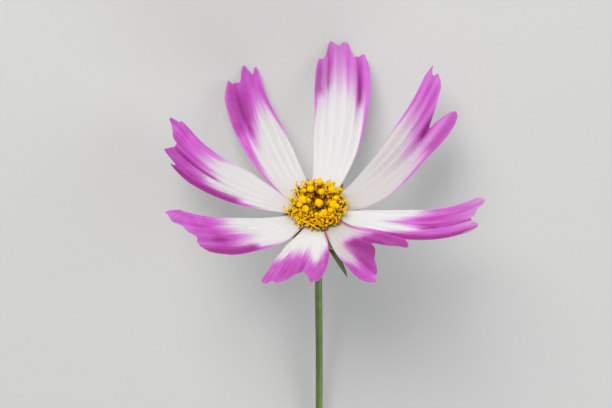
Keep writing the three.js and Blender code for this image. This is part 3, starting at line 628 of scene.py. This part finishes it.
def petal_material():
    """White petal skin: purple tint and streaks, painted shade in grooves, some streaks and the white,
    a red flush and a paler back.
    """
    material, tree, shader = fresh("petal_skin", 0.55)
    tint = attribute(tree, "tint")
    place = blade_space(tree)
    streaks = noise(tree, place, 1.0, 1.6, (22, 1.2, 1))
    fine = noise(tree, place, 1.0, 2.0, (120, 4, 1))
    patches = noise(tree, object_space(tree), 260.0, 2.0)
    inside = times(tree, tint, math_node(tree, "SUBTRACT", 1.0, tint))
    shifted = times(tree, math_node(tree, "SUBTRACT", streaks, 0.5), inside)
    amount = math_node(tree, "MULTIPLY_ADD", shifted, 1.8, tint, clamp=True)
    stops = [
        (0.0, (0.79, 0.79, 0.795)),
        (0.15, (0.76, 0.69, 0.77)),
        (0.4, (0.70, 0.40, 0.71)),
        (0.7, (0.645, 0.16, 0.625)),
        (1.0, (0.57, 0.07, 0.515)),
    ]
    colour = ramp(tree, amount, stops)
    bands = math_node(tree, "MULTIPLY_ADD", patches, 0.6, streaks)
    light = times(tree, smooth_range(tree, bands, 0.72, 1.0), tint)
    deep = times(tree, smooth_range(tree, bands, 0.78, 0.55), tint)
    veins = times(tree, smooth_range(tree, fine, 0.5, 0.72), 0.1)
    white = math_node(tree, "MULTIPLY_ADD", tint, -1.5, 1.0, clamp=True)
    layers = [
        (times(tree, light, 0.7), (0.71, 0.21, 0.70), "MIX"),
        (times(tree, deep, 0.42), (0.45, 0.06, 0.39), "MIX"),
        # deep purple streaks, partly the petal's own colour and partly painted shade
        (times(tree, attribute(tree, "dark"), 0.9), (0.30, 0.012, 0.22), "MIX"),
        # painted shade in the grooves between pleats and along the creases
        (times(tree, attribute(tree, "groove_shade"), 0.33), (0.42, 0.40, 0.45), "MULTIPLY"),
        (veins, (0.6, 0.56, 0.62), "MULTIPLY"),
        (attribute(tree, "base"), (0.62, 0.62, 0.3), "MIX"),
        # painted shade: dulls the white by each petal's shade
        (times(tree, attribute(tree, "shade"), white), (0.74, 0.695, 0.68), "MULTIPLY"),
        (attribute(tree, "blush"), (0.46, 0.02, 0.13), "MIX"),
    ]
    for share, tone, blend in layers:
        colour = mixed(tree, share, colour, tone, blend)
    lines = times(tree, smooth_range(tree, fine, 0.46, 0.6), 0.22)
    pale = mixed(tree, 0.38, colour, (0.80, 0.74, 0.79))
    pale = mixed(tree, lines, pale, (0.58, 0.56, 0.5), "MULTIPLY")
    give(tree, shader, {
        "Base Color": mixed(tree, attribute(tree, "under"), colour, pale),
        "Subsurface Weight": 0.25,
        "Subsurface Radius": (1.0, 0.6, 0.9),
        "Subsurface Scale": 0.0012,
        "Sheen Weight": 0.06,
        "Sheen Roughness": 0.5,
        "Specular IOR Level": 0.25,
    })
    height = math_node(tree, "ADD", streaks, times(tree, fine, 0.6))
    bump(tree, shader, height, 0.15, 0.00012)
    return material


def core_material():
    """The disc's dark floor, painted shade between florets, which varies between two browns, with a
    fine grain.
    """
    material, tree, shader = fresh("core_brown", 0.7)
    low, high = (0.08, 0.032, 0.006), (0.17, 0.078, 0.012)
    place = object_space(tree)
    grain = noise(tree, place, 3600, 2.0)
    share = smooth_range(tree, noise(tree, place, 600, 3.0), 0.35, 0.65)
    colour = mixed(tree, share, low, high)
    colour = mixed(tree, times(tree, grain, 0.35), colour, low, "MULTIPLY")
    give(tree, shader, {"Base Color": colour})
    bump(tree, shader, grain, 0.5, 0.00006)
    return material


def floret_material(name, low, high, roughness, scale, bumpiness):
    """A floret's skin, painted shade low down between its neighbours, painted highlights on ridges,
    fine grain.
    """
    material, tree, shader = fresh(name, roughness)
    place = object_space(tree)
    broad = math_node(tree, "SUBTRACT", noise(tree, place, scale, 3.0), 0.5)
    grain = noise(tree, place, scale * 4, 2.0)
    share = math_node(tree, "MULTIPLY_ADD", broad, 0.9, attribute(tree, "high"))
    colour = mixed(tree, share, low, high)
    # painted highlight along the ribbed crests of the anther tubes
    ridge_highlights = times(tree, attribute(tree, "ridge_highlight"), 0.8)
    colour = mixed(tree, ridge_highlights, colour, (0.50, 0.25, 0.008))
    shade = tuple(0.7 * part + 0.12 for part in high)
    colour = mixed(tree, times(tree, grain, 0.3), colour, shade, "MULTIPLY")
    give(tree, shader, {"Base Color": colour, "Specular IOR Level": 0.06})
    bump(tree, shader, grain, bumpiness, 0.00006)
    return material


def green_material(name, low, high, stripe, across):
    """Green skin with lengthwise stripes, which run along the blade or stem."""
    material, tree, shader = fresh(name, 0.5)
    stripes = noise(tree, blade_space(tree), 1.0, 3.0, (across, 1.5, 1))
    broad = noise(tree, object_space(tree), 180.0, 2.0)
    fine = noise(tree, object_space(tree), 2400.0, 2.0)
    colour = mixed(tree, smooth_range(tree, broad, 0.35, 0.68), low, high)
    lines = times(tree, smooth_range(tree, stripes, 0.52, 0.7), 0.55)
    colour = mixed(tree, lines, colour, stripe)
    give(tree, shader, {
        "Base Color": mixed(tree, attribute(tree, "pale"), colour, (0.46, 0.5, 0.24)),
        "Subsurface Weight": 0.08,
        "Subsurface Scale": 0.0006,
        "Coat Weight": 0.08,
        "Coat Roughness": 0.4,
    })
    height = math_node(tree, "ADD", stripes, times(tree, fine, 0.4))
    bump(tree, shader, height, 0.3, 0.0001)
    return material


# Pieces


def finish_piece(piece, material, node):
    piece.data.materials.append(material)
    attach(piece, "root")
    if node:
        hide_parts(node)


def beyond(across, place, side):
    """1 on the given side of a place across the petal, 0 on the other, with a short run between."""
    return smoothstep(-0.06, 0.2, side * (across - place))


def petal_half_width(petal, across, along, phase):
    """Half the petal's width at each point, before its lobes are spread or slimmed."""
    grown = np.sin(np.pi / 2 * np.clip(along / WIDEST_AT, 0, 1))
    past = np.clip((along - WIDEST_AT) / (1 - WIDEST_AT), 0, 1)
    neck = petal["necks"][0] + (petal["necks"][1] - petal["necks"][0]) * (across + 1) / 2
    half = petal["half_width"] * (neck + (1 - neck) * grown)
    return half * (1 - END_TAPER * past**2) * (1 + 0.012 * np.sin(17 * along + phase))


def petal_relief(petal, across, along, down, half, phase):
    """How far pleats, creases, curl and raised lobes lift each point; painted shade for its grooves."""
    opened = smoothstep(0.04, 0.4, along)
    lift = EDGE_LIFT * half * (across**2 - 0.33) * np.clip(3 * along, 0, 1)
    wave = 2 * np.pi * PETAL_RIBS / 2 * (across + 0.03 * np.sin(5 * along + phase)) + phase
    ribs = np.cos(wave) * (0.68 + 0.42 * np.sin(2.7 * across + 1.7 * phase))
    veins = np.cos(2 * np.pi * PETAL_VEINS / 2 * across + 3 * phase + 0.6 * np.sin(4 * along))
    fade = 1 - 0.6 * np.abs(across) ** 4
    lift = lift + (PETAL_RIB_HEIGHT * ribs + PETAL_VEIN_HEIGHT * veins) * opened * fade
    # painted shade: darker in the grooves between ribs and in the creases
    groove_shade = 0.32 * (0.5 - 0.5 * ribs) * opened + 0.05 * (0.5 - 0.5 * veins) * opened
    for place, depth, width, start in petal["folds"]:
        crease = np.exp(-(((across - place) / width) ** 2)) * smoothstep(start, start + 0.4, along)
        shoulder = np.exp(-(((across - place) / (3 * width)) ** 2))
        lift = lift - depth * crease + 0.35 * depth * shoulder * smoothstep(start, 1, along)
        groove_shade = groove_shade + 1.2 * depth * crease
    waves = np.sin(9 * along + phase) * smoothstep(0.2, 0.6, along)
    lift = lift + EDGE_WAVE * np.abs(across) ** 3 * waves
    lift = lift - smoothstep(0.93, 1.0, down) * TIP_CURL * np.cos(3 * across + phase)
    for place, side, height, start, run in petal["raised"]:
        lift = lift + height * beyond(across, place, side) * smoothstep(start, start + run, along)
    return lift, np.clip(groove_shade, 0, 1)


def petal_spread(petal, across, along, half):
    """How far each point lies to the side of the midrib, in millimetres."""
    spread = across * half
    for place, side, shift, start, run in petal["splay"]:
        spread = spread + shift * beyond(across, place, side) * smoothstep(start, start + run, along)
    for side, share, start, run in petal["slims"]:
        less = share * smoothstep(-0.25, 0.25, side * across) * smoothstep(start, start + run, along)
        spread = spread * (1 - less)
    return spread


def petal_piece(petal, number, material):
    """One petal: pleated lengthwise, creased below its notches and thin at its rim."""
    columns = np.linspace(-1, 1, PETAL_COLUMNS + 1)
    columns = np.sign(columns) * np.abs(columns) ** 0.9
    rows = np.linspace(0, 1, PETAL_ROWS + 1)
    down, across = np.meshgrid(rows, columns, indexing="ij")
    phase = 2.1 * number
    reach = eased(petal["tip"], across)
    reach = reach + 0.0018 * np.sin(23 * across + phase) + 0.0008 * np.sin(51 * across + 2 * phase)
    along = down * reach
    half = petal_half_width(petal, across, along, phase)
    lift, groove_shade = petal_relief(petal, across, along, down, half, phase)
    spread = petal_spread(petal, across, along, half)
    grid = blade_points(petal, spread / half, along, half, lift)
    rim = np.minimum(1 - np.abs(across), 1.2 * (1 - down))
    inward = smoothstep(0, 0.12, rim)
    points, faces = sheet(grid, PETAL_RIM_THICKNESS + (PETAL_THICKNESS - PETAL_RIM_THICKNESS) * inward)
    tint, dark = petal_colouring(petal, across, along, down, phase)
    base = (1 - smoothstep(0, 0.12, along)) * 0.35
    side = np.where(across < 0, petal["blush"][0], petal["blush"][1])
    inner = 0.62 + 1.1 * np.clip(along, 0, 0.3)
    blush = side * smoothstep(inner, inner + 0.3, np.abs(across)) * (1 - smoothstep(0.06, 0.28, along))
    # painted shade over the white, one amount for the whole petal
    shade = np.full_like(tint, petal["shade"])
    looks = dict(tint=tint, dark=dark, groove_shade=groove_shade, base=base, blush=blush, shade=shade)
    values = {key: np.tile(array.ravel(), 2) for key, array in looks.items()}
    values["under"] = np.repeat([0.0, 1.0], along.size)
    uv = blade_uv(across, along, number)
    piece = new_mesh(f"petal_{number}_skin", points, faces, values, uv)
    finish_piece(piece, material, f"petal_{number}")


def petal_colouring(petal, across, along, down, phase):
    """How purple and how dark a petal is at each point, the darkness partly painted shade."""
    uneven = 0.02 * np.sin(19 * across + phase) + 0.014 * np.sin(37 * across + 2.3 * phase)
    uneven = uneven + 0.008 * np.sin(71 * across + 1.7 * phase)
    start = eased(petal["purple"], across) + uneven - PURPLE_SPREAD
    soft = petal["soft"] + 0.03 * np.sin(11 * across + 3 * phase)
    tint = smoothstep(start - soft, start + 1.5 * soft, along)
    for side, low in zip((-1, 1), petal["edges"]):
        far = across * side
        width = 0.02 + 0.16 * smoothstep(low, 0.9, along)
        line = smoothstep(1 - 2 * width, 1 - 0.4 * width, far)
        tint = np.maximum(tint, 0.85 * line * smoothstep(low - 0.08, low + 0.3, along))
    tint = tint * (1 - petal["tip_pale"] * smoothstep(0.65, 1, down))
    dark = np.zeros_like(tint)
    for first, last, width, low, high, strength in petal["dark"]:
        share = np.clip((along - low) / (high - low), 0, 1)
        place = first + (last - first) * share
        streak = np.exp(-(((across - place) / width) ** 2)) * strength
        run = min(0.12, 0.5 * (high - low))
        fade = smoothstep(low - 0.04, low + 0.04, along)
        fade = fade * (1 - smoothstep(high - run, high + 0.6 * run, along))
        dark = np.maximum(dark, streak * fade)
        tint = np.maximum(tint, 0.9 * streak * smoothstep(low - 0.07, low + 0.05, along))
    return tint, dark


def floret_places():
    """Each floret's number, reach, root and top, and how far it leans left and lies back."""
    for k in range(FLORETS):
        heading = math.radians(k * FLORET_TURN)
        reach = FLORET_SPREAD * math.sqrt((k + 0.5) / FLORETS)
        tall = float(smoothstep(RISE_AT - 0.8, RISE_AT + 1, reach))
        over = max(reach - COLUMNS_TO, 0)
        back = math.sin(heading)
        height = 1.7 + (2.9 + 0.8 * back) * tall - (0.85 - 0.25 * back) * over
        height = height + 0.25 * math.sin(2.4 * k)
        flat = flat_way(heading)
        if k == 0:
            flat = flat * 0.4
            height = 3.0
        left = max(-math.cos(heading), 0) * over
        root = flat * reach * FLORET_ROOTS + [0, 0, FLORET_ROOT_HEIGHT]
        yield k, reach, root, flat * (reach + 0.35 * left) + [0, 0, height], left, back
    first, span = FRONT_ARC
    for k in range(FRONT_FLORETS):
        flat = flat_way(math.radians(first + span * (k + 0.5) / FRONT_FLORETS))
        reach = 5.2 + 0.9 * (k % 2)
        height = 3.3 - 0.8 * (k % 2) + 0.15 * math.sin(2.4 * k)
        root = flat * reach * FLORET_ROOTS + [0, 0, FLORET_ROOT_HEIGHT]
        yield FLORETS + k, reach, root, flat * reach + [0, 0, height], 0, -1


def lump(rng, centre, radius, rings, sides, rough=0.14, stretch=1.0):
    """A rough round lump: pollen, or a low bud where it is stretched."""
    angle = np.linspace(0, np.pi, rings + 2)
    profile = np.stack([radius * np.sin(angle), -radius * stretch * np.cos(angle)], -1)
    points, faces = turned(profile, sides)
    bumps = rng.normal(0, rough, len(points))
    return points * (1 + bumps)[:, None] + centre, faces


def lobe_grid(length, width, curl, heading, root_radius, root_height, twist, start):
    """A small corolla lobe as a grid: it starts on the tube's mouth and curls outwards."""
    rows, wide = 12, 5
    t = np.linspace(0, 1, rows)
    bend = np.radians(start - curl * t**1.2)
    step = length / (rows - 1)
    out = np.r_[0, np.cumsum(np.cos((bend[1:] + bend[:-1]) / 2) * step)] + root_radius
    up = np.r_[0, np.cumsum(np.sin((bend[1:] + bend[:-1]) / 2) * step)] + root_height
    half = width / 2 * np.sqrt(np.clip(1 - (1.04 * t - 0.3) ** 2 / 0.62, 0.05, 1))
    u = np.linspace(-1, 1, wide)
    side = np.outer(half, u)
    cup = 0.35 * np.outer(half, u**2)
    spin = heading + twist * t[:, None]
    radial = out[:, None] - cup * np.sin(bend)[:, None]
    x = radial * np.cos(spin) - side * np.sin(spin)
    y = radial * np.sin(spin) + side * np.cos(spin)
    z = up[:, None] + cup * np.cos(bend)[:, None]
    return np.stack([x, y, z], -1)


class Floret:
    """One floret, built up along Z from 0. Its parts go to the disc's piles, at its own place."""

    def __init__(self, rng, piles, root, top):
        self.rng = rng
        self.piles = piles
        self.root = root
        self.length = float(np.linalg.norm(top - root))
        way = Vector(unit(top - root))
        self.turn = np.array(Vector((0, 0, 1)).rotation_difference(way).to_matrix())

    def add(self, pile, points, faces, ridge_highlight=None, drop=0.0):
        self.piles[pile].add(points @ self.turn.T + self.root, faces, ridge_highlight, drop)

    def add_pollen(self, centre, size, rings=4, sides=7, rough=0.14, stretch=1.0):
        self.add("pollen", *lump(self.rng, centre, size, rings, sides, rough, stretch))


def floret_profile(points, steps):
    profile = finer(points, steps)
    profile[:, 0] = np.clip(profile[:, 0], 0, None)
    return profile


def pollen_ball(floret, centre, radius):
    """A golden ball of pollen that bulges in a few lobes over a scalloped lower rim."""
    rng = floret.rng
    angle = np.linspace(0, np.pi, 18)
    profile = np.stack([radius * np.sin(angle), -radius * 0.92 * np.cos(angle)], -1)
    turn = rng.uniform(0, 1.2)

    def ripple(around, height):
        low = smoothstep(0.5 * radius, -0.6 * radius, height)
        return 1 + (0.05 + 0.09 * low) * np.cos(5 * around + turn) + 0.03 * np.cos(11 * around)

    points, faces = turned(profile, 26, ripple)
    grain = rng.normal(0, 0.022, len(points))
    floret.add("pollen", points * (1 + grain)[:, None] + centre, faces)
    for k in range(int(16 * radius)):
        way = unit(rng.normal(size=3) - [0, 0, 0.35])
        size = radius * rng.uniform(0.18, 0.34)
        floret.add_pollen(centre + way * radius * 0.86, size, 5, 8, 0.1)


def anther_tube(floret, low, high, radius):
    """The dark tube of joined anthers, ribbed, on a sway of its own; gives its upper end."""
    rings, sides = 8, 15
    height = np.linspace(low, high, rings)
    swell = 1 + 0.16 * np.sin(np.linspace(0, np.pi, rings))
    ribs = np.cos(5 * (2 * np.pi * np.arange(sides) / sides))
    radii = radius * swell[:, None] * (1 + 0.12 * ribs)[None, :]
    sway = 0.05 * floret.rng.normal(size=2)
    path = np.stack([sway[0] * height, sway[1] * height, height], -1)
    # painted highlight: amber along the crests of the tube's ribs
    ridge_highlight = np.r_[np.tile(0.5 + 0.5 * ribs, rings), 0, 0]
    floret.add("anther", *tube(path, radii, sides), ridge_highlight)
    return path[-1]


def corolla(floret, mouth, radius, lengths, widths, curls, start):
    """A ribbed tube with five lobes round its mouth, each with a curl and lean of its own."""
    outline = [
        (0, 0), (0.28, 0.03), (0.3, 0.5 * mouth), (0.9 * radius, 0.9 * mouth), (radius, mouth),
        (0, mouth),
    ]

    def ribbed(angle, height):
        return 0.92 + 0.1 * np.cos(5 * angle) + 0 * height

    # painted shade: tubes are coloured as if lower, lobes as if higher
    floret.add("corolla", *turned(floret_profile(outline, 14), 20, ribbed), drop=TUBE_SHADE_DROP)
    rng = floret.rng
    first = rng.uniform(0, 2 * np.pi)
    for k in range(5):
        heading = first + 2 * np.pi * k / 5 + rng.normal(0, 0.14)
        size = rng.uniform(*lengths), rng.uniform(*widths), rng.uniform(*curls)
        twist = rng.normal(0, 0.3)
        grid = lobe_grid(*size, heading, 0.85 * radius, 0.95 * mouth, twist, start)
        lobe = sheet(grid, np.full(grid.shape[:2], LOBE_THICKNESS))
        floret.add("corolla", *lobe, drop=LOBE_SHADE_DROP)


def style_arms(floret, end, length):
    """Two style arms that curl back from the anthers, dusted with pollen."""
    rng = floret.rng
    turn = rng.uniform(0, np.pi)
    t = np.linspace(0, 1, 16)
    for side in (-1, 1):
        bend = np.radians(80 - rng.uniform(150, 250) * t**1.3)
        step = length * rng.uniform(0.9, 1.15) / 15
        out = np.cumsum(np.cos(bend) * step) * side
        up = np.cumsum(np.sin(bend) * step)
        path = np.stack([out * math.cos(turn), out * math.sin(turn), up], -1) + end
        radii = STYLE_RADIUS * np.sqrt(1.02 - t**3) + 0.012 * rng.normal(size=16)
        floret.add("style", *tube(path, np.abs(radii), 8))
        for k in range(4):
            grain = path[rng.integers(3, 15)] + rng.normal(0, 0.05, 3)
            floret.add_pollen(grain, rng.uniform(0.07, 0.13), 3, 6)


def bud(floret):
    """A closed floret in the hollow of the disc, olive brown with five seams and a golden tip."""
    rng = floret.rng
    high = 0.86 * floret.length
    outline = [(0, 0), (0.34, 0.04), (0.36, 0.4), (0.55, 0.7), (0.5, 0.88), (0.2, 0.98), (0, 1)]
    profile = floret_profile([(radius, share * high) for radius, share in outline], 22)
    turn = rng.uniform(0, 1.2)

    def ripple(angle, height):
        seam = np.abs(np.cos(2.5 * angle + turn)) ** 0.5
        return 0.84 + 0.16 * seam * smoothstep(0.35, 0.6, height / high)

    floret.add("bud", *turned(profile, 25, ripple))
    for k in range(3):
        grain = rng.normal(0, 0.12, 3) + [0, 0, high]
        floret.add_pollen(grain, rng.uniform(0.1, 0.16))


def ball_head(floret, size):
    """A floret whose anthers have just pushed up a round clump of pollen."""
    length = floret.length + 0.3
    mouth = 0.5 * length
    corolla(floret, mouth, **COROLLAS["ball"])
    end = anther_tube(floret, 0.9 * mouth, length - 1.1 * size, 0.36)
    pollen_ball(floret, end + [0, 0, 0.55 * size], size)


def column(floret, inner, back):
    """A tall floret: a yellow corolla, upright near the hollow, and dark anthers with pollen."""
    rng = floret.rng
    mouth = rng.uniform(0.44, 0.56) * floret.length
    corolla(floret, mouth, **COROLLAS["inner" if inner else "column"])
    end = anther_tube(floret, 0.9 * mouth, 0.88 * floret.length, 0.33)
    pollen_ball(floret, end + [0, 0, 0.1], rng.uniform(0.46, 0.62))
    for k in range(9 + int(14 * back)):
        grain = 0.33 * flat_way(rng.uniform(0, 2 * np.pi))
        grain[2] = end[2] * rng.uniform(0.68, 1)
        floret.add_pollen(grain, rng.uniform(0.09, 0.2) + 0.1 * back)


def opened(floret, left, back):
    """An open floret of the rim: five curled lobes, dark anthers and two curling style arms."""
    rng = floret.rng
    mouth = rng.uniform(0.52, 0.62) * floret.length
    corolla(floret, mouth, **COROLLAS["open"])
    end = anther_tube(floret, 0.9 * mouth, 0.84 * floret.length, 0.25)
    if rng.uniform() < 0.6 + left - 0.35 * back:
        style_arms(floret, end, rng.uniform(*STYLE_LENGTHS) * (1 - 0.3 * back) + 0.3 * left)
    size = rng.uniform(0.2, 0.3) + 0.22 * back + 0.08 * left
    floret.add_pollen(end + [0, 0, 0.03], size, 6, 10, 0.1, 0.8)
    for k in range(int(7 * back + 3 * left)):
        grain = end * rng.uniform(0.75, 1) + rng.normal(0, 0.24, 3)
        floret.add_pollen(grain, rng.uniform(0.14, 0.26))


def disc_pieces():
    """The disc: florets of four kinds, low buds in its hollow, and the core that bears them."""
    rng = np.random.default_rng(5)
    piles = {name: Pile() for name in FLORET_LOOKS}
    for k, reach, root, top, left, back in floret_places():
        floret = Floret(rng, piles, root, top)
        if k in BALLS:
            ball_head(floret, BALLS[k])
        elif reach < HOLLOW_TO:
            bud(floret)
        elif reach < COLUMNS_TO:
            column(floret, reach < RING_TO, max(back, 0))
        else:
            opened(floret, left, max(back - 2 * left, 0))
    for k in range(HOLLOW_BUDS):
        reach = 0.55 + HOLLOW_SPAN * math.sqrt((k + 0.5) / HOLLOW_BUDS)
        centre = reach * flat_way(math.radians(k * FLORET_TURN + 40)) + [0, 0, 1.05]
        size = rng.uniform(0.27, 0.4)
        low_bud = lump(rng, centre, size, 7, 10, 0.06, rng.uniform(1.6, 2.3))
        piles["bud"].add(*low_bud, drop=HOLLOW_SHADE_DROP)
    for name, pile in piles.items():
        piece = pile.mesh(f"florets_{name}")
        finish_piece(piece, floret_material(*FLORET_LOOKS[name]), None)
    core = new_mesh("disc_core", *turned(finer(DISC_PROFILE, 24), 48))
    finish_piece(core, core_material(), "disc")


def bract_piece(name, shape, material):
    """A ring of bracts as one mesh, each a pointed blade with a raised midrib."""
    places = np.linspace(0, 1, shape["rows"]), np.linspace(-1, 1, shape["columns"])
    down, across = np.meshgrid(*places, indexing="ij")
    half = shape["half_width"] * np.maximum(eased(shape["outline"], down), 0.03)
    keel = shape["keel"] * np.exp(-((across / 0.16) ** 2)) * (1 - down)
    lift = shape["curl"] * half * (across**2 - 0.3) + keel
    rim = smoothstep(0, 0.3, 1 - np.abs(across))
    thickness = shape["thickness"] * (0.45 + 0.55 * rim) * (1 - 0.4 * down)
    pale = smoothstep(0.75, 1, np.abs(across)) * shape["pale_rim"]
    pale = pale + 0.3 * np.exp(-((across / 0.1) ** 2))
    pile = Pile()
    for number, (swing, bend) in enumerate(zip(shape["swings"], shape["bends"])):
        heading = shape["heading"] + 360 / BRACTS * number
        rise = shape["rise"][0] + bend, shape["rise"][1] + bend, shape["rise"][2] + 1.5 * bend
        one = dict(shape, heading=heading, rise=rise, swing=swing)
        pile.add(*sheet(blade_points(one, across, down, half, lift), thickness))
    values = {"pale": np.tile(pale.ravel(), 2 * BRACTS)}
    uv = np.vstack([blade_uv(across, down, number) for number in range(BRACTS)])
    piece = new_mesh(name, np.vstack(pile.points), pile.faces, values, uv)
    finish_piece(piece, material, None)


def calyx_pieces():
    """The cup under the head, with a ring of broad inner and one of narrow outer bracts."""
    # The outer greens are darkened by about a quarter as painted shade: the calyx lies in the head's
    # shadow.
    outer = green_material(
        "outer_bract_green", (0.05, 0.11, 0.016), (0.10, 0.18, 0.03), (0.04, 0.08, 0.015), 14
    )
    # The inner bracts' green is darkened as painted shade where they show between the petals.
    inner = green_material(
        "inner_bract_green", (0.14, 0.20, 0.05), (0.23, 0.27, 0.085), (0.16, 0.10, 0.045), 22
    )
    bract_piece("inner_bracts", INNER_BRACTS, inner)
    bract_piece("outer_bracts", OUTER_BRACTS, outer)
    first = math.radians(OUTER_BRACTS["heading"])

    def ripple(angle, height):
        toward = 0.5 + 0.5 * np.cos(BRACTS * (angle - first))
        shoulder = np.exp(-(((height + 2.2) / 0.8) ** 2))
        return 1 + 0.012 * np.cos(3 * BRACTS * angle) + 0.1 * shoulder * toward**2 - 0.02 * (1 - toward)

    points, faces = turned(finer(CUP_PROFILE, 60), 96, ripple)
    angle = np.arctan2(points[:, 1], points[:, 0]) / (2 * np.pi) + 0.5
    uv = np.stack([angle * 4, points[:, 2] / 6], -1)
    rib = np.cos(2 * np.pi * BRACTS * angle - first * BRACTS)
    pale = smoothstep(-1.5, -0.9, points[:, 2]) * 0.7 + 0.3 * smoothstep(0.85, 1, rib)
    cup = new_mesh("calyx_cup", points, faces, {"pale": pale}, uv)
    finish_piece(cup, outer, "calyx")


def stem_path():
    """The stem's middle line in the row frame, from the calyx to the cut, and its length in mm."""
    start = HEAD_ROTATION @ [0, 0, -STEM_TOP] + HEAD_AT
    rest = STEM_RADIUS * math.cos(math.pi / STEM_FLATS)
    lean = math.radians(HEAD_LEAN)
    bend = (start[2] - rest) * lean / (1 - math.cos(lean))
    length = bend + STEM_REST
    gone = (np.arange(STEM_STEPS) + 0.5) / STEM_STEPS * length
    fall = lean * np.clip(1 - gone / bend, 0, 1)
    aside = math.radians(STEM_SIDEWAYS) * (gone / length) ** 2
    way = direction(-np.pi / 2 - aside, -fall)
    return np.vstack([start, start + np.cumsum(way * length / STEM_STEPS, 0)]), length


def stem_piece():
    """The ribbed stem, whose cut end is paler and slightly uneven."""
    path, length = stem_path()
    sides = STEM_SIDES
    rings = STEM_STEPS + 1
    share = np.linspace(0, 1, rings)
    angle = 2 * np.pi * np.arange(sides) / sides
    ribs = 0.035 * np.cos(STEM_RIBS * angle) + 0.012 * np.cos(21 * angle + 1)
    swell = 0.96 + 0.08 * np.exp(-share * 40) + 0.015 * np.sin(31 * share) - 0.02 * share
    radii = (STEM_RADIUS - 0.04) * swell[:, None] * (1 + ribs)[None, :]
    points, faces = tube(path, radii, sides)
    end = path[-1]
    middle = rings * sides + 1
    rim = points[(rings - 1) * sides : rings * sides]
    cut = [end + (rim - end) * size + [0, sunk, 0] for size, sunk in STEM_CUT]
    faces = [face for face in faces if middle not in face]
    starts = [(rings - 1) * sides] + [len(points) + k * sides for k in range(len(cut))]
    for outer, inner in zip(starts, starts[1:]):
        for side in range(sides):
            after = (side + 1) % sides
            faces.append((outer + side, outer + after, inner + after, inner + side))
    faces += [(middle, starts[-1] + side, starts[-1] + (side + 1) % sides) for side in range(sides)]
    turn = np.arange(sides) / sides
    around = np.r_[np.tile(turn, rings), 0.5, 0.5, np.tile(turn, len(cut))]
    down = np.r_[np.repeat(share * length / 12, sides), 0, np.full(1 + len(cut) * sides, length / 12)]
    pale = np.r_[np.zeros(middle), 1.0, np.full(len(cut) * sides, 0.85)]
    # The stem's green is darkened by about a quarter as painted shade for the shade under the head.
    green = green_material(
        "stem_green", (0.10, 0.19, 0.03), (0.17, 0.27, 0.055), (0.09, 0.085, 0.03), 20
    )
    back = (np.vstack([points, *cut]) - HEAD_AT) @ HEAD_ROTATION
    piece = new_mesh("stem_skin", back, faces, {"pale": pale}, np.stack([around, down], -1))
    finish_piece(piece, green, "stem")


# Stage


def stage():
    bpy.ops.mesh.primitive_plane_add(size=6, location=(0, 0, 0))
    floor = bpy.context.object
    floor.name = "floor"
    material, tree, shader = fresh("floor_paper", 0.8)
    grain = noise(tree, object_space(tree), 900.0, 3.0)
    colour = mixed(tree, grain, (0.66, 0.66, 0.645), (0.69, 0.69, 0.675))
    give(tree, shader, {"Base Color": colour, "Specular IOR Level": 0.2})
    floor.data.materials.append(material)


def lights():
    world = bpy.data.worlds.new("studio")
    bpy.context.scene.world = world
    world.use_nodes = True
    tree = world.node_tree
    give(tree, tree.nodes["Background"], {"Color": (0.95, 0.97, 1.0), "Strength": 0.34})
    for name, place, size, power, colour in LIGHTS:
        data = bpy.data.lights.new(name, "AREA")
        data.shape = "DISK"
        data.size = size
        data.energy = power
        data.color = colour
        light = new_object(name, data)
        light.location = place
        toward = Vector(LIT_SPOT) - Vector(place)
        light.rotation_euler = toward.to_track_quat("-Z", "Y").to_euler()


def camera():
    tilt = math.radians(VIEW_ELEVATION)
    toward = HEAD_ROTATION @ [0, -math.cos(tilt), math.sin(tilt)]
    up = HEAD_ROTATION @ [0, math.sin(tilt), math.cos(tilt)]
    right = HEAD_ROTATION @ [1, 0, 0]
    aside = (CENTRE_PIXEL[0] - IMAGE_SIZE[0] / 2) * MM_PER_PIXEL
    above = (IMAGE_SIZE[1] / 2 - CENTRE_PIXEL[1]) * MM_PER_PIXEL
    place = HEAD_AT + toward * VIEW_DISTANCE - right * aside - up * above
    data = bpy.data.cameras.new("camera")
    data.sensor_width = SENSOR_WIDTH
    data.lens = VIEW_DISTANCE / MM_PER_PIXEL * SENSOR_WIDTH / IMAGE_SIZE[0]
    data.clip_start = 0.01
    data.clip_end = 20
    view = new_object("camera", data)
    turn = Matrix(np.stack([right, up, toward], -1).tolist())
    view.matrix_world = Matrix.Translation(Vector(place * MM)) @ turn.to_4x4()
    bpy.context.scene.camera = view


bpy.context.scene.view_settings.view_transform = "Standard"
camera()
lights()
stage()
skin = petal_material()
for number, petal in enumerate(PETALS, 1):
    petal_piece({**PLAIN_PETAL, **petal}, number, skin)
disc_pieces()
calyx_pieces()
stem_piece()

bpy.context.view_layer.update()
